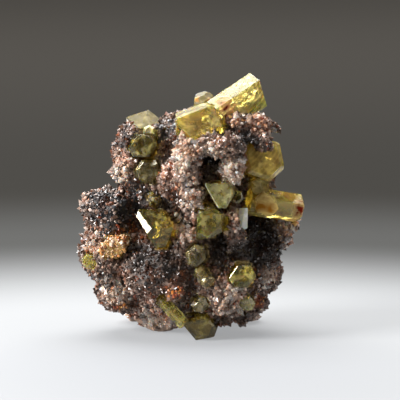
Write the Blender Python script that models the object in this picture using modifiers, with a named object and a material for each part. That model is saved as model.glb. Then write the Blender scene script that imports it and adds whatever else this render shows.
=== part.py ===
"""A hand specimen of yellow fluorapatite crystals seated in a quartz-crusted rock matrix.

It faces -Y and stands on Z = 0. Sizes are in millimetres in the tables, and in metres once a shape is made.
"""

import math
import random

import bmesh
import bpy
from mathutils import Matrix, Vector

MM = 0.001

# Places are given as they are seen from the front and a little above level, in millimetres: right of the
# middle, up from the front foot, and behind the middle.
LOOK_DOWN = math.radians(8.0)
FRONT_FOOT_BACK = -12.0

SEAT_GAP = 0.3  # air left round a crystal in its socket
PYRAMID_SLOPE = math.radians(40.3)  # between fluorapatite's pyramid faces and its flat end
BLANK_HALF_WIDTH = 12.0  # of the bar that a crystal's six sides are cut from
FLOOR_BLOCK = 0.2  # side of the block that cuts the rock level, in metres

ROCK_GRAIN = 0.8
ROCK_TRIANGLES = 2700
POINT_COUNT = 105  # quartz points that stand out of the crust, besides the named ones
POINT_SPACING = 2.7
POINT_LOWEST = 4.0  # no points on what the rock rests on
POINT_SEED = 11

# The rock: middle of each lump, then its half sizes across, deep and high.
LUMPS = {
    "lower_core": ((-1.6, 20.0, 3.0), (22.5, 15.5, 15.5)),
    "upper_core": ((1.0, 43.5, 2.5), (18.0, 13.0, 16.0)),
    "back_core": ((0.5, 33.0, 10.5), (19.0, 11.0, 22.0)),
    "left_ledge": ((-21.8, 32.8, -1.0), (7.0, 8.0, 5.2)),
    "left_ledge_lip": ((-25.9, 35.0, -3.5), (3.6, 4.5, 3.0)),
    "left_ledge_top": ((-23.0, 37.0, -1.5), (5.0, 5.5, 2.4)),
    "left_bulge": ((-21.4, 22.5, -3.0), (7.8, 8.5, 8.4)),
    "left_skirt": ((-18.8, 13.0, 0.0), (6.8, 8.0, 6.2)),
    "tower": ((-14.2, 47.6, 1.0), (6.4, 8.5, 9.6)),
    "tower_shoulder": ((-16.8, 43.8, -2.0), (3.8, 5.5, 5.4)),
    "tower_brow": ((-12.6, 54.2, -4.2), (5.0, 3.8, 2.9)),
    "crown": ((4.5, 53.6, -0.5), (12.0, 9.5, 6.6)),
    "crown_right": ((16.4, 55.0, -3.5), (4.8, 5.5, 4.3)),
    "over_right_crystal": ((16.6, 50.8, -8.4), (4.4, 3.4, 2.6)),
    "under_crown_crystal": ((12.2, 56.2, -5.6), (6.0, 4.4, 2.8)),
    "right_wall": ((14.6, 42.5, 3.5), (6.2, 8.5, 11.0)),
    "right_plate": ((20.6, 27.6, 2.0), (6.6, 7.5, 4.4)),
    "right_plate_tip": ((25.0, 30.0, 2.0), (2.6, 4.0, 2.4)),
    "right_low": ((18.0, 18.6, 1.0), (5.2, 9.0, 7.4)),
    "right_skirt": ((12.4, 9.6, -3.5), (6.2, 8.0, 4.4)),
    "quartz_foot": ((-8.0, 5.2, 2.6), (6.2, 5.5, 4.0)),
    "rear_foot_left": ((-12.0, 7.9, 15.5), (6.0, 5.0, 5.4)),
    "rear_foot_right": ((12.0, 7.9, 15.5), (6.5, 5.0, 5.4)),
    "milky_ridge": ((-1.2, 44.5, -13.0), (4.0, 5.0, 11.0)),
    "milky_ridge_foot": ((-0.4, 37.2, -13.5), (3.4, 4.5, 4.5)),
    "band_under_crown": ((7.2, 50.4, -12.5), (7.4, 4.6, 3.0)),
    "pale_cluster": ((10.2, 44.0, -12.5), (3.3, 4.2, 3.3)),
    "pink_patch": ((-6.4, 42.0, -12.0), (2.9, 4.0, 4.4)),
    "middle_ridge": ((11.0, 29.4, -12.5), (2.7, 4.6, 6.4)),
    "middle_apron": ((-1.0, 24.4, -10.6), (5.0, 4.6, 5.2)),
    "front_bulge": ((-9.0, 16.8, -10.5), (9.0, 5.6, 7.4)),
    "front_apron": ((8.4, 12.6, -11.0), (8.6, 6.0, 6.6)),
    "rust_knob": ((-4.2, 12.0, -15.4), (2.3, 2.4, 2.3)),
    "grape_low": ((8.6, 4.5, -9.0), (1.9, 2.4, 1.8)),
    "grape_mid": ((12.8, 4.9, -7.0), (1.7, 2.4, 1.7)),
    "grape_right": ((17.4, 9.2, -7.0), (1.9, 2.6, 1.9)),
    "back_knob_high": ((-5.0, 50.0, 14.0), (6.0, 4.6, 5.0)),
    "back_knob_low": ((9.0, 24.0, 19.0), (6.5, 4.0, 6.0)),
    "back_rib": ((-11.0, 30.0, 17.0), (4.2, 4.6, 10.0)),
}

# The hollows between the lumps, given in the same way.
HOLLOWS = {
    "crown_pit": ((14.4, 50.0, -9.6), (1.9, 6.0, 2.6)),
    "vug": ((3.4, 44.6, -16.4), (2.5, 5.2, 2.9)),
    "slot_over_hero": ((-8.0, 36.6, -12.0), (4.4, 6.0, 1.9)),
    "ledge_pit": ((-17.6, 32.6, -9.0), (2.5, 4.4, 1.6)),
    "ledge_cleft": ((-20.6, 35.8, -8.6), (2.0, 3.0, 1.0)),
    "right_cave": ((17.6, 26.0, -9.0), (4.4, 6.6, 4.8)),
    "low_pit": ((6.4, 21.8, -15.5), (3.6, 4.4, 2.0)),
    "low_cleft": ((0.6, 14.6, -16.4), (1.5, 3.4, 3.2)),
    "tower_recess": ((-11.4, 44.6, -9.5), (3.6, 4.0, 4.6)),
    "under_vug": ((4.4, 38.4, -15.8), (2.4, 3.6, 2.0)),
    "back_vug": ((1.0, 37.0, 22.6), (4.4, 4.2, 5.4)),
    "back_cleft": ((-3.0, 16.0, 18.6), (3.4, 4.0, 3.4)),
}

# Quartz points large enough to pick out singly: foot, tip and half width.
NAMED_POINTS = {
    "glint_point": ((12.6, 48.2, -11.0), (13.4, 45.6, -15.0), 1.2),
    "hanging_point": ((11.2, 51.4, -12.0), (11.8, 47.6, -17.0), 2.0),
    "lip_point": ((20.0, 56.4, -3.0), (23.0, 54.4, -5.0), 1.1),
    "ledge_point": ((-26.0, 35.6, -4.0), (-29.2, 38.4, -5.0), 1.1),
    "plate_point": ((25.6, 30.4, 0.0), (28.0, 29.2, -2.0), 1.2),
    "beside_dark_crystal": ((-1.0, 31.6, -12.0), (3.0, 33.0, -17.4), 1.4),
}

# The fluorapatite: middle of the hidden foot and of the outer end, distance of the side faces from the axis
# (one for all six, or each from the first on, anticlockwise), how far the first is turned in degrees,
# height of the pyramid faces round the end, and the finish.
CRYSTALS = {
    "crown_crystal": (
        (5.4, 57.0, -6.6), (16.9, 64.9, 3.6), (4.0, 4.8, 4.8, 2.95, 4.8, 4.8), 2, 0.4, "golden"
    ),
    "crown_front_crystal": (
        (-6.2, 53.2, -15.0), (5.3, 57.7, -6.6), (3.4, 3.9, 3.9, 3.35, 4.7, 5.2), -26, 0.5, "golden"
    ),
    "crown_back_crystal": ((2.6, 58.6, 2.0), (3.4, 64.4, 1.2), 2.4, 10, 0.9, "pale"),
    "tower_top_crystal": (
        (-12.5, 57.7, 4.5), (-12.5, 57.9, -8.0), (3.7, 2.4, 1.7, 4.6, 3.0, 2.6), -10, 0.0, "pale"
    ),
    "tower_face_crystal": (
        (-12.7, 50.2, -2.0), (-12.9, 50.4, -11.0), (3.6, 2.9, 3.1, 3.6, 2.9, 3.4), 30, 0.5, "dark"
    ),
    "tower_sliver": ((-10.6, 53.0, -4.0), (-11.2, 54.2, -9.8), 1.5, 0, 0.5, "pale"),
    "tower_low_crystal": ((-11.0, 44.4, -3.0), (-11.5, 43.6, -9.0), 3.1, 24, 0.6, "dull"),
    "slot_crystal": ((-10.4, 37.8, -4.0), (-9.7, 35.4, -10.0), 1.4, 5, 0.4, "dull"),
    "hero_crystal": (
        (-8.6, 28.6, -7.0), (-9.7, 29.6, -19.0), (3.6, 4.8, 6.1, 2.9, 5.2, 4.3), 33, 0.0, "golden"
    ),
    "middle_pale_crystal": (
        (7.6, 38.0, -8.0), (7.3, 37.8, -17.4), (3.5, 2.9, 5.0, 2.35, 3.7, 3.2), 30, 0.3, "pale"
    ),
    "middle_small_crystal": ((11.5, 37.2, -8.0), (11.6, 37.1, -14.6), 1.6, 14, 0.4, "dark"),
    "middle_dark_crystal": (
        (5.6, 30.8, -8.0), (5.2, 30.8, -17.8), (4.0, 3.1, 5.1, 3.9, 5.6, 3.7), 0, 0.7, "golden"
    ),
    "blade_crystal": (
        (13.3, 34.2, -13.4), (13.2, 28.7, -14.6), (0.7, 1.2, 1.2, 0.7, 1.2, 1.2), 60, 0.4, "golden"
    ),
    "low_round_crystal": (
        (1.8, 22.4, -10.0), (0.9, 21.8, -17.8), (2.4, 2.7, 2.4, 2.5, 2.9, 2.4), 12, 0.8, "dull"
    ),
    "low_bar_crystal": ((2.0, 18.0, -13.0), (4.4, 14.8, -17.6), 1.6, 10, 0.3, "dull"),
    "right_flat_crystal": (
        (13.2, 17.4, -8.0), (13.3, 16.7, -17.2), (2.9, 2.6, 2.8, 3.7, 3.1, 3.0), 26, 0.3, "pale"
    ),
    "right_fan_crystal": (
        (13.6, 9.8, -8.5), (14.4, 9.0, -15.4), (2.0, 2.2, 2.6, 1.8, 1.6, 2.0), 35, 1.0, "pale"
    ),
    "low_wedge_crystal": (
        (2.6, 10.4, -9.5), (2.1, 8.9, -17.4), (1.9, 2.0, 2.0, 2.3, 2.0, 1.8), 25, 1.2, "dull"
    ),
    "long_low_crystal": ((-8.6, 11.2, -12.6), (-1.8, 3.7, -15.4), 1.55, 15, 0.4, "golden"),
    "foot_crystal": (
        (2.8, 4.35, -4.0), (2.1, 2.75, -14.6), (3.4, 3.0, 4.5, 2.9, 2.9, 4.2), 40, 0.6, "golden"
    ),
    "right_big_crystal": (
        (17.6, 46.2, -0.5), (19.3, 46.5, -9.6), (4.6, 5.6, 6.0, 5.3, 4.6, 5.0), 10, 0.9, "golden"
    ),
    "right_long_crystal": ((14.6, 36.2, -6.0), (28.4, 34.0, -1.4), 3.3, 8, 0.7, "golden"),
    "right_amber_crystal": (
        (18.4, 35.6, -5.0), (19.3, 35.2, -11.4), (2.9, 3.2, 3.0, 2.8, 3.0, 3.3), 14, 0.5, "golden"
    ),
    "right_brown_crystal": ((17.2, 40.4, -3.5), (17.9, 39.7, -9.6), 2.3, 0, 0.5, "dark"),
    "left_edge_crystal": ((-25.8, 20.7, -5.4), (-27.0, 20.2, -9.9), 1.8, 20, 0.4, "dark"),
    "stained_crystal": (
        (-19.6, 24.4, -6.0), (-20.2, 23.5, -12.6), (3.7, 3.0, 3.2, 3.8, 2.4, 2.4), 30, 0.4, "stained"
    ),
    "back_high_crystal": ((-5.0, 49.0, 12.0), (-6.6, 53.4, 20.6), 3.0, 9, 0.8, "golden"),
    "back_middle_crystal": (
        (7.0, 40.0, 12.0), (9.6, 42.6, 22.6), (3.4, 4.0, 3.6, 3.4, 4.0, 3.6), 16, 0.8, "golden"
    ),
    "back_low_crystal": ((8.0, 24.0, 16.0), (11.4, 23.0, 25.4), 2.6, 4, 0.6, "pale"),
    "back_left_crystal": ((-11.0, 33.0, 13.0), (-16.4, 36.0, 21.4), 2.6, 20, 0.5, "dark"),
}

# Crystals that grew through one another, and so are one solid each.
GROWN_TOGETHER = {"right_long_crystal": ("right_amber_crystal", "right_brown_crystal")}

# A crystal whose growth another one stopped.
GIVES_WAY = {
    "crown_crystal": ("crown_front_crystal",),
    "tower_sliver": ("tower_face_crystal",),
    "tower_low_crystal": ("tower_face_crystal",),
    "middle_small_crystal": ("middle_pale_crystal",),
    "low_bar_crystal": ("low_round_crystal",),
    "low_wedge_crystal": ("foot_crystal",),
    "long_low_crystal": ("foot_crystal",),
    "right_long_crystal": ("right_big_crystal",),
    "right_brown_crystal": ("right_big_crystal",),
}

# Broken and slanting faces, each through three places on it.
SLANTS = {
    "tower_top_crystal": (
        ((-11.4, 60.0, 3.0), (-12.8, 56.4, -5.5), (-17.2, 58.1, -1.0)),
        ((-11.4, 60.0, 3.0), (-12.8, 56.4, -5.5), (-8.6, 57.3, -1.0)),
    ),
    "hero_crystal": (
        ((-13.7, 33.2, -14.0), (-10.4, 28.8, -17.4), (-6.4, 29.7, -15.8)),
        ((-13.7, 33.2, -14.0), (-10.4, 28.8, -17.4), (-14.0, 31.7, -14.3)),
        ((-10.4, 28.8, -17.4), (-6.4, 29.7, -16.6), (-8.6, 23.8, -14.2)),
    ),
    "middle_dark_crystal": (((2.0, 26.2, -17.0), (8.0, 26.4, -17.0), (5.0, 26.6, -10.0)),),
    "crown_front_crystal": (
        ((-4.5, 58.1, -8.0), (-4.1, 53.8, -12.0), (-3.6, 56.0, -20.0)),
        ((-2.4, 55.3, -17.6), (0.2, 52.5, -16.4), (-4.1, 53.8, -11.0)),
    ),
}

# Colour, roughness and how far each finish lets light through.
FINISHES = {
    "golden": ((0.62, 0.52, 0.10), 0.06, 0.8),
    "dark": ((0.32, 0.28, 0.06), 0.10, 0.8),
    "pale": ((0.74, 0.70, 0.46), 0.15, 0.5),
    "dull": ((0.40, 0.37, 0.26), 0.30, 0.3),
    "stained": ((0.55, 0.36, 0.14), 0.50, 0.1),
    "quartz": ((0.36, 0.29, 0.27), 0.55, 0.0),
}


def seen(place):
    """The point, in metres, that is seen at this place from the front."""
    right, up, back = place
    rise = (back - FRONT_FOOT_BACK) * math.sin(LOOK_DOWN)
    return Vector((right, back, (up - rise) / math.cos(LOOK_DOWN))) * MM


def clear_scene():
    for obj in list(bpy.data.objects):
        bpy.data.objects.remove(obj)


def new_collection(name):
    made = bpy.data.collections.new(name)
    bpy.context.scene.collection.children.link(made)
    return made


def new_object(name, mesh, collection):
    made = bpy.data.objects.new(name, mesh)
    collection.objects.link(made)
    return made


def mesh_from(bm, name):
    mesh = bpy.data.meshes.new(name)
    bm.to_mesh(mesh)
    bm.free()
    return mesh


def make_finish(name):
    colour, roughness, transmission = FINISHES[name]
    made = bpy.data.materials.new(name)
    made.use_nodes = True
    shader = made.node_tree.nodes["Principled BSDF"]
    shader.inputs["Base Color"].default_value = (*colour, 1.0)
    shader.inputs["Roughness"].default_value = roughness
    shader.inputs["Transmission Weight"].default_value = transmission
    return made


def settle(obj):
    """Replaces the object's mesh by its modified one."""
    graph = bpy.context.evaluated_depsgraph_get()
    mesh = bpy.data.meshes.new_from_object(obj.evaluated_get(graph))
    obj.modifiers.clear()
    obj.data = mesh


def boolean(obj, other, operation, solver="EXACT"):
    step = obj.modifiers.new(operation.lower(), "BOOLEAN")
    step.operation = operation
    step.object = other
    step.solver = solver
    settle(obj)


def add_skin(obj):
    """One closed skin round all that the object holds."""
    skin = obj.modifiers.new("skin", "REMESH")
    skin.mode = "VOXEL"
    skin.voxel_size = ROCK_GRAIN * MM


def ellipsoids(name, table, collection):
    bm = bmesh.new()
    for place, half_sizes in table.values():
        stand = Matrix.LocRotScale(seen(place), None, Vector(half_sizes) * MM)
        bmesh.ops.create_icosphere(bm, subdivisions=3, radius=1.0, matrix=stand)
    obj = new_object(name, mesh_from(bm, name), collection)
    add_skin(obj)
    settle(obj)
    return obj


def roughen(obj, label, kind, grain, depth):
    """Moves the surface in and out by a solid pattern, with its grain and depth in millimetres."""
    pattern = bpy.data.textures.new(label, kind)
    pattern.noise_scale = grain * MM
    step = obj.modifiers.new(label, "DISPLACE")
    step.texture = pattern
    step.texture_coords = "LOCAL"
    step.strength = depth * MM
    step.mid_level = 0.5


def keep_largest(obj):
    """Drops the loose chips that a cut leaves."""
    bm = bmesh.new()
    bm.from_mesh(obj.data)
    left = set(bm.verts)
    bodies = []
    while left:
        body = set()
        front = [left.pop()]
        while front:
            vert = front.pop()
            body.add(vert)
            near = {edge.other_vert(vert) for edge in vert.link_edges} & left
            left -= near
            front.extend(near)
        bodies.append(body)
    bodies.sort(key=len)
    chips = [vert for body in bodies[:-1] for vert in body]
    bmesh.ops.delete(bm, geom=chips, context="VERTS")
    bm.to_mesh(obj.data)
    bm.free()


def slice_off(bm, point, facing):
    """Cuts away what lies beyond a plane and closes the cut."""
    geometry = [*bm.verts, *bm.edges, *bm.faces]
    bmesh.ops.bisect_plane(bm, geom=geometry, plane_co=point, plane_no=facing, clear_outer=True)
    rim = [edge for edge in bm.edges if edge.is_boundary]
    bmesh.ops.holes_fill(bm, edges=rim)


def make_rock(parts, cutters):
    rock = ellipsoids("quartz_matrix", LUMPS, parts)
    hollows = ellipsoids("hollows", HOLLOWS, cutters)
    boolean(rock, hollows, "DIFFERENCE")
    roughen(rock, "bulges", "CLOUDS", 7.0, 3.0)
    roughen(rock, "knobs", "VORONOI", 3.2, -2.2)
    roughen(rock, "grains", "VORONOI", 1.7, -0.9)
    add_skin(rock)
    settle(rock)
    keep_largest(rock)
    rock.data.calc_loop_triangles()
    simpler = rock.modifiers.new("simpler", "DECIMATE")
    simpler.ratio = ROCK_TRIANGLES / len(rock.data.loop_triangles)
    settle(rock)
    return rock


def point_mesh(foot, tip, half_width, turn):
    """A quartz crystal: a six-sided prism that ends in a six-sided pyramid."""
    bm = bmesh.new()
    along = tip - foot
    point_height = min(1.3 * half_width, 0.6 * along.length)
    prism_height = along.length - point_height
    stand = along.to_track_quat("Z", "Y").to_matrix().to_4x4() @ Matrix.Rotation(turn, 4, "Z")
    bmesh.ops.create_cone(
        bm,
        cap_ends=True,
        segments=6,
        radius1=half_width,
        radius2=half_width,
        depth=prism_height,
        matrix=Matrix.Translation(foot) @ stand @ Matrix.Translation((0, 0, prism_height / 2)),
    )
    ends = [face for face in bm.faces if len(face.verts) == 6]
    top = max(ends, key=lambda face: (face.calc_center_median() - foot).dot(along))
    peak = bmesh.ops.poke(bm, faces=[top])["verts"][0]
    peak.co = tip
    return mesh_from(bm, "quartz_point")


def spread_points(rock, dice):
    """Foot, tip and half width of the points that cover the rock, kept a least spacing apart."""
    faces = list(rock.data.polygons)
    areas = [face.area for face in faces]
    places = []
    points = []
    for face in dice.choices(faces, weights=areas, k=POINT_COUNT * 12):
        place = face.center.copy()
        crowded = any((place - other).length < POINT_SPACING * MM for other in places)
        if crowded or place.z < POINT_LOWEST * MM or len(places) == POINT_COUNT:
            continue
        lean = Vector([dice.uniform(-0.45, 0.45) for _ in range(3)])
        facing = (face.normal + lean).normalized()
        half_width = dice.uniform(0.65, 1.2) * MM
        length = half_width * dice.uniform(1.1, 1.9)
        places.append(place)
        points.append((place - facing * half_width, place + facing * length, half_width))
    return points


def grow_points(rock, cutters):
    """Fuses the quartz points to the rock."""
    dice = random.Random(POINT_SEED)
    points = [(seen(foot), seen(tip), half_width * MM) for foot, tip, half_width in NAMED_POINTS.values()]
    points += spread_points(rock, dice)
    for foot, tip, half_width in points:
        point = new_object("quartz_point", point_mesh(foot, tip, half_width, dice.uniform(0, 1)), cutters)
        boolean(rock, point, "UNION")


def flatten_feet(rock, cutters):
    """Cuts the rock level where it rests."""
    bm = bmesh.new()
    below = Matrix.Translation((0, 0, -FLOOR_BLOCK / 2))
    bmesh.ops.create_cube(bm, size=FLOOR_BLOCK, matrix=below)
    floor = new_object("under_the_feet", mesh_from(bm, "under_the_feet"), cutters)
    boolean(rock, floor, "DIFFERENCE")


def crystal_stand(name):
    """The crystal's place and turn: its foot, with its long axis along Z."""
    foot, tip = (seen(place) for place in CRYSTALS[name][:2])
    return Matrix.Translation(foot) @ (tip - foot).to_track_quat("Z", "Y").to_matrix().to_4x4()


def crystal_mesh(name, grow=0.0):
    """The crystal along Z, with every face moved out by grow."""
    foot, tip, reach, turn, pyramid, _ = CRYSTALS[name]
    length = (seen(tip) - seen(foot)).length
    reaches = reach if isinstance(reach, tuple) else (reach,) * 6
    bm = bmesh.new()
    height = length + 2 * grow
    width = 2 * BLANK_HALF_WIDTH * MM
    middle = Matrix.Translation((0, 0, length / 2))
    bmesh.ops.create_cube(bm, size=1.0, matrix=middle @ Matrix.Diagonal((width, width, height, 1)))
    end = Vector((0, 0, length - pyramid * MM))
    for side, distance in enumerate(reaches):
        angle = math.radians(turn + 60 * side)
        outward = Vector((math.cos(angle), math.sin(angle), 0))
        slice_off(bm, outward * (distance * MM + grow), outward)
        sloping = outward * math.sin(PYRAMID_SLOPE) + Vector((0, 0, math.cos(PYRAMID_SLOPE)))
        slice_off(bm, end + outward * distance * MM + sloping * grow, sloping)
    to_local = crystal_stand(name).inverted()
    for places in SLANTS.get(name, ()):
        first, second, third = (to_local @ seen(place) for place in places)
        facing = (second - first).cross(third - first).normalized()
        if facing.dot(first - middle.translation) < 0:
            facing.negate()
        slice_off(bm, first + facing * grow, facing)
    bmesh.ops.dissolve_limit(bm, angle_limit=0.001, verts=bm.verts, edges=bm.edges)
    bmesh.ops.recalc_face_normals(bm, faces=bm.faces)
    return mesh_from(bm, name)


def make_crystals(rock, parts, cutters):
    finishes = {name: make_finish(name) for name in FINISHES}
    made = {}
    sockets = {}
    for name in CRYSTALS:
        made[name] = new_object(name, crystal_mesh(name), parts)
        sockets[name] = new_object(name + "_socket", crystal_mesh(name, SEAT_GAP * MM), cutters)
        for obj in (made[name], sockets[name]):
            obj.matrix_world = crystal_stand(name)
        made[name].data.materials.append(finishes[CRYSTALS[name][-1]])
    bpy.context.view_layer.update()
    for name in CRYSTALS:
        boolean(rock, sockets[name], "DIFFERENCE", "MANIFOLD")  # EXACT leaves open edges where sockets meet
        for other in GIVES_WAY.get(name, ()):
            boolean(made[name], sockets[other], "DIFFERENCE")
    for host, guests in GROWN_TOGETHER.items():
        for guest in guests:
            boolean(made[host], made[guest], "UNION")
            bpy.data.objects.remove(made.pop(guest))
    rock.data.materials.clear()
    rock.data.materials.append(finishes["quartz"])
    return list(made.values())


def stand_on_origin(pieces, parts):
    """Hangs the pieces from one empty, whose place brings the specimen's foot to the origin."""
    corners = [obj.matrix_world @ vert.co for obj in pieces for vert in obj.data.vertices]
    low = [min(corner[axis] for corner in corners) for axis in range(3)]
    high = [max(corner[axis] for corner in corners) for axis in range(3)]
    specimen = new_object("specimen", None, parts)
    specimen.location = (-(low[0] + high[0]) / 2, -(low[1] + high[1]) / 2, -low[2])
    for obj in pieces:
        obj.parent = specimen


def main():
    clear_scene()
    parts = new_collection("fluorapatite_in_quartz")
    cutters = new_collection("cutters")
    rock = make_rock(parts, cutters)
    grow_points(rock, cutters)
    flatten_feet(rock, cutters)
    crystals = make_crystals(rock, parts, cutters)
    keep_largest(rock)
    for helper in cutters.objects:
        helper.hide_render = True
        helper.display_type = "WIRE"
    stand_on_origin([rock, *crystals], parts)


main()
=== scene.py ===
import math

import bmesh
import bpy
import numpy as np
from mathutils import Matrix, Vector, noise
from mathutils.bvhtree import BVHTree


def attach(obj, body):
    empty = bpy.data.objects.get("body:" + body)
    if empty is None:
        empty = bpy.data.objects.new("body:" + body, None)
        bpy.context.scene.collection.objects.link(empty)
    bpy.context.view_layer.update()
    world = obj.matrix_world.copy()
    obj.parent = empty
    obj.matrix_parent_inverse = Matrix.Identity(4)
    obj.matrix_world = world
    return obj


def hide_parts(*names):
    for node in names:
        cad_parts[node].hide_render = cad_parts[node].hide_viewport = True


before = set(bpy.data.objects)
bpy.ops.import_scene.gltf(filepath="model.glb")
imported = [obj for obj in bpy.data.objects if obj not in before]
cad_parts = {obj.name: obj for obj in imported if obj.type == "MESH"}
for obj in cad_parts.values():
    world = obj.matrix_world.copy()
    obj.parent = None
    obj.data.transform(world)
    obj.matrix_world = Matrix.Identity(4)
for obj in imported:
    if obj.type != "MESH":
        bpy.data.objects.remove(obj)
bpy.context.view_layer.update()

mm = 0.001
scene = bpy.context.scene
print("frame loaded:", len(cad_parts), "nodes")

view = {
    "lookDown": 8.0,  # degrees, as the photo was taken
    "pixel": 0.261,  # mm of the specimen to one pixel of 400
    "distance": 1200.0,  # mm, a long lens keeps the shapes square
    "axis": (0.264, -3.76),  # mm, the line that the seen places are measured from
    "frontFoot": (192, 339, -12.0),  # pixel across, pixel down and mm back of the front foot
    "picture": 400,  # pixels across and down
    "sensor": 36.0,  # mm
    "inFront": -60.0,  # mm back, clear of the whole specimen
    "usualDepth": -5.0,  # mm back, for a place where the camera sees past it
}
lookDown = math.radians(view["lookDown"])
axisPoint = Vector((*view["axis"], 0.0)) * mm


def seenPoint(right, up, back):  # mm to the right, up and back as the camera sees them
    rise = (back - view["frontFoot"][2]) * math.sin(lookDown)
    return Vector((right, back, (up - rise) / math.cos(lookDown))) * mm + axisPoint


def linearColour(hexValue):  # sRGB hex to the linear light that shaders work in
    channels = [int(hexValue[i:i + 2], 16) / 255 for i in (1, 3, 5)]
    return tuple(c / 12.92 if c < 0.04045 else ((c + 0.055) / 1.055) ** 2.4 for c in channels) + (1.0,)


def addNode(tree, kind, settings=None, links=None):
    node = tree.nodes.new(kind)
    for name, value in (settings or {}).items():
        if isinstance(name, str) and hasattr(node, name):
            setattr(node, name, value)
        else:
            node.inputs[name].default_value = value
    for name, source in (links or {}).items():
        tree.links.new(source, node.inputs[name])
    return node


def newMaterial(name):
    material = bpy.data.materials.new(name)
    material.use_nodes = True
    material.node_tree.nodes.clear()
    return material, material.node_tree


def rampColours(ramp, stops):  # stops: (position, hex colour)
    while len(ramp.elements) < len(stops):
        ramp.elements.new(0.5)
    for element, (position, hexValue) in zip(ramp.elements, stops):
        element.position = position
        element.color = linearColour(hexValue)


def mergedCopy(node):  # a CAD node's loose triangles, joined
    bm = bmesh.new()
    bm.from_mesh(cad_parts[node].data)
    bmesh.ops.remove_doubles(bm, verts=bm.verts, dist=0.002 * mm)
    return bm


def newPiece(name, mesh, slot, *replaced):
    piece = bpy.data.objects.new(name, mesh)
    scene.collection.objects.link(piece)
    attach(piece, "root")
    if replaced:
        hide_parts(*replaced)
    return piece


# ---- the rock: which mineral coats it where

crystalNodes = [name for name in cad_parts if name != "quartz_matrix"]

# Places as seen in mm (right, up), radius in mm, and how strongly each mineral shows there. Umber in the caves,
# pits and recesses is painted shade, with some real oxide.
mineralZones = {
    "ridgeTop": (-2.1, 49.3, 3.8, {"milk": 1.0}),
    "ridgeMiddle": (-2.1, 42.6, 3.4, {"milk": 0.9}),
    "ridgeLow": (0.5, 36.2, 3.2, {"milk": 1.0}),
    "underCrownFront": (4.7, 49.4, 3.8, {"milk": 0.8}),
    "middleCluster": (9.4, 43.2, 3.8, {"milk": 1.5}),
    "belowCrown": (16.4, 56.4, 4.4, {"milk": 0.5, "rust": 0.15, "peach": 0.45}),
    "crownLip": (20.4, 54.0, 2.6, {"milk": 0.7}),
    "overRightBig": (14.6, 46.4, 2.2, {"milk": 0.8}),
    "besideHero": (-3.1, 29.8, 3.2, {"milk": 0.9}),
    "underMiddleDark": (0.2, 27.6, 2.6, {"milk": 0.7}),
    "leftOfMiddleDark": (2.9, 32.6, 2.0, {"milk": 0.9}),
    "besideBlade": (11.4, 32.4, 1.9, {"milk": 0.7}),
    "bottomLump": (-9.0, 5.0, 5.0, {"milk": 0.9}),
    "towerFlank": (-18.4, 43.4, 3.0, {"milk": 0.85, "umber": -0.4}),
    "leftPatch": (-25.4, 25.2, 2.8, {"milk": 0.75, "peach": 0.4}),
    "lowLeft": (-19.8, 11.2, 3.0, {"milk": 1.2}),
    "lowRight": (10.6, 9.8, 4.6, {"milk": 0.75}),
    "rightEdge": (25.6, 28.4, 4.2, {"milk": 1.4}),
    "rightLowEdge": (20.6, 17.6, 3.6, {"milk": 0.95, "rust": 0.3}),
    "ledge": (-21.4, 35.0, 6.4, {"iron": 1.0}),
    "ledgeRight": (-13.6, 37.2, 3.8, {"iron": 0.9}),
    "ledgeFoot": (-23.0, 29.6, 3.0, {"iron": 0.8}),
    "ledgePit": (-17.4, 32.0, 2.4, {"iron": 1.0, "umber": 0.8}),
    "towerLeft": (-17.4, 53.0, 3.4, {"iron": 0.85}),
    "saddle": (-7.2, 55.0, 3.2, {"iron": 0.9}),
    "underTower": (-15.0, 39.6, 2.4, {"iron": 0.7}),
    "leftBottom": (-23.4, 15.0, 3.0, {"iron": 0.7, "milk": 0.2}),
    "leftBelly": (-12.0, 20.6, 5.4, {"iron": 0.45, "umber": 0.85}),
    "rightCave": (17.3, 25.0, 6.8, {"umber": 1.1}),
    "underMiddleCave": (8.2, 24.2, 3.4, {"umber": 0.9}),
    "vug": (3.4, 44.4, 2.2, {"umber": 0.45}),
    "crownPit": (14.8, 51.4, 2.6, {"umber": 1.5}),
    "crownPitLeft": (14.0, 52.8, 1.7, {"umber": 1.4}),
    "crownPitRight": (16.2, 51.6, 1.5, {"umber": 1.3}),
    "crownPitFoot": (15.0, 50.0, 1.7, {"umber": 1.3}),
    "midRight": (11.8, 23.6, 3.0, {"umber": 0.9}),
    "slotPit": (-7.6, 35.4, 2.8, {"umber": 0.9}),
    "lowPit": (6.6, 21.8, 2.4, {"umber": 0.9}),
    "lowCleft": (1.2, 14.2, 2.2, {"umber": 0.8}),
    "towerRecess": (-11.6, 45.6, 2.6, {"umber": 0.6}),
    "middleDeep": (-6.0, 20.0, 4.4, {"umber": 0.8}),
    "orangePatch": (-18.4, 26.4, 3.2, {"rust": 1.0}),
    "orangeUpper": (-15.8, 29.0, 2.0, {"rust": 0.9}),
    "lowerMiddle": (-3.6, 12.6, 2.6, {"rust": 0.8}),
    "redKnobRight": (17.0, 10.2, 1.9, {"rust": 1.3}),
    "redKnobLeft": (-19.2, 8.4, 1.7, {"rust": 1.3}),
    "crownEnd": (6.6, 60.8, 1.8, {"rust": 0.9}),
    "crownStreak": (8.8, 57.2, 1.6, {"rust": 0.7}),
    "longEnd": (28.8, 34.2, 1.6, {"rust": 1.2}),
    "rightFlank": (25.4, 25.6, 2.4, {"rust": 0.6}),
    "ridgeLeft": (-6.5, 43.4, 2.8, {"peach": 0.7, "rust": 0.15}),
    "towerShoulder": (-18.4, 47.0, 2.4, {"peach": 0.75, "milk": 0.2}),
    "ledgeTop": (-17.4, 38.6, 2.2, {"peach": 0.7}),
    "leftSpecks": (-24.8, 27.2, 2.2, {"peach": 0.7}),
    "lowerLeft": (-17.6, 19.4, 3.8, {"peach": 0.6, "iron": 0.2}),
    "ledgeRim": (-28.0, 37.0, 1.8, {"peach": 0.6}),
    "towerHead": (-9.6, 52.6, 1.8, {"peach": 0.5, "iron": 0.3}),
}
minerals = ("milk", "iron", "umber", "rust", "peach")
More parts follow.
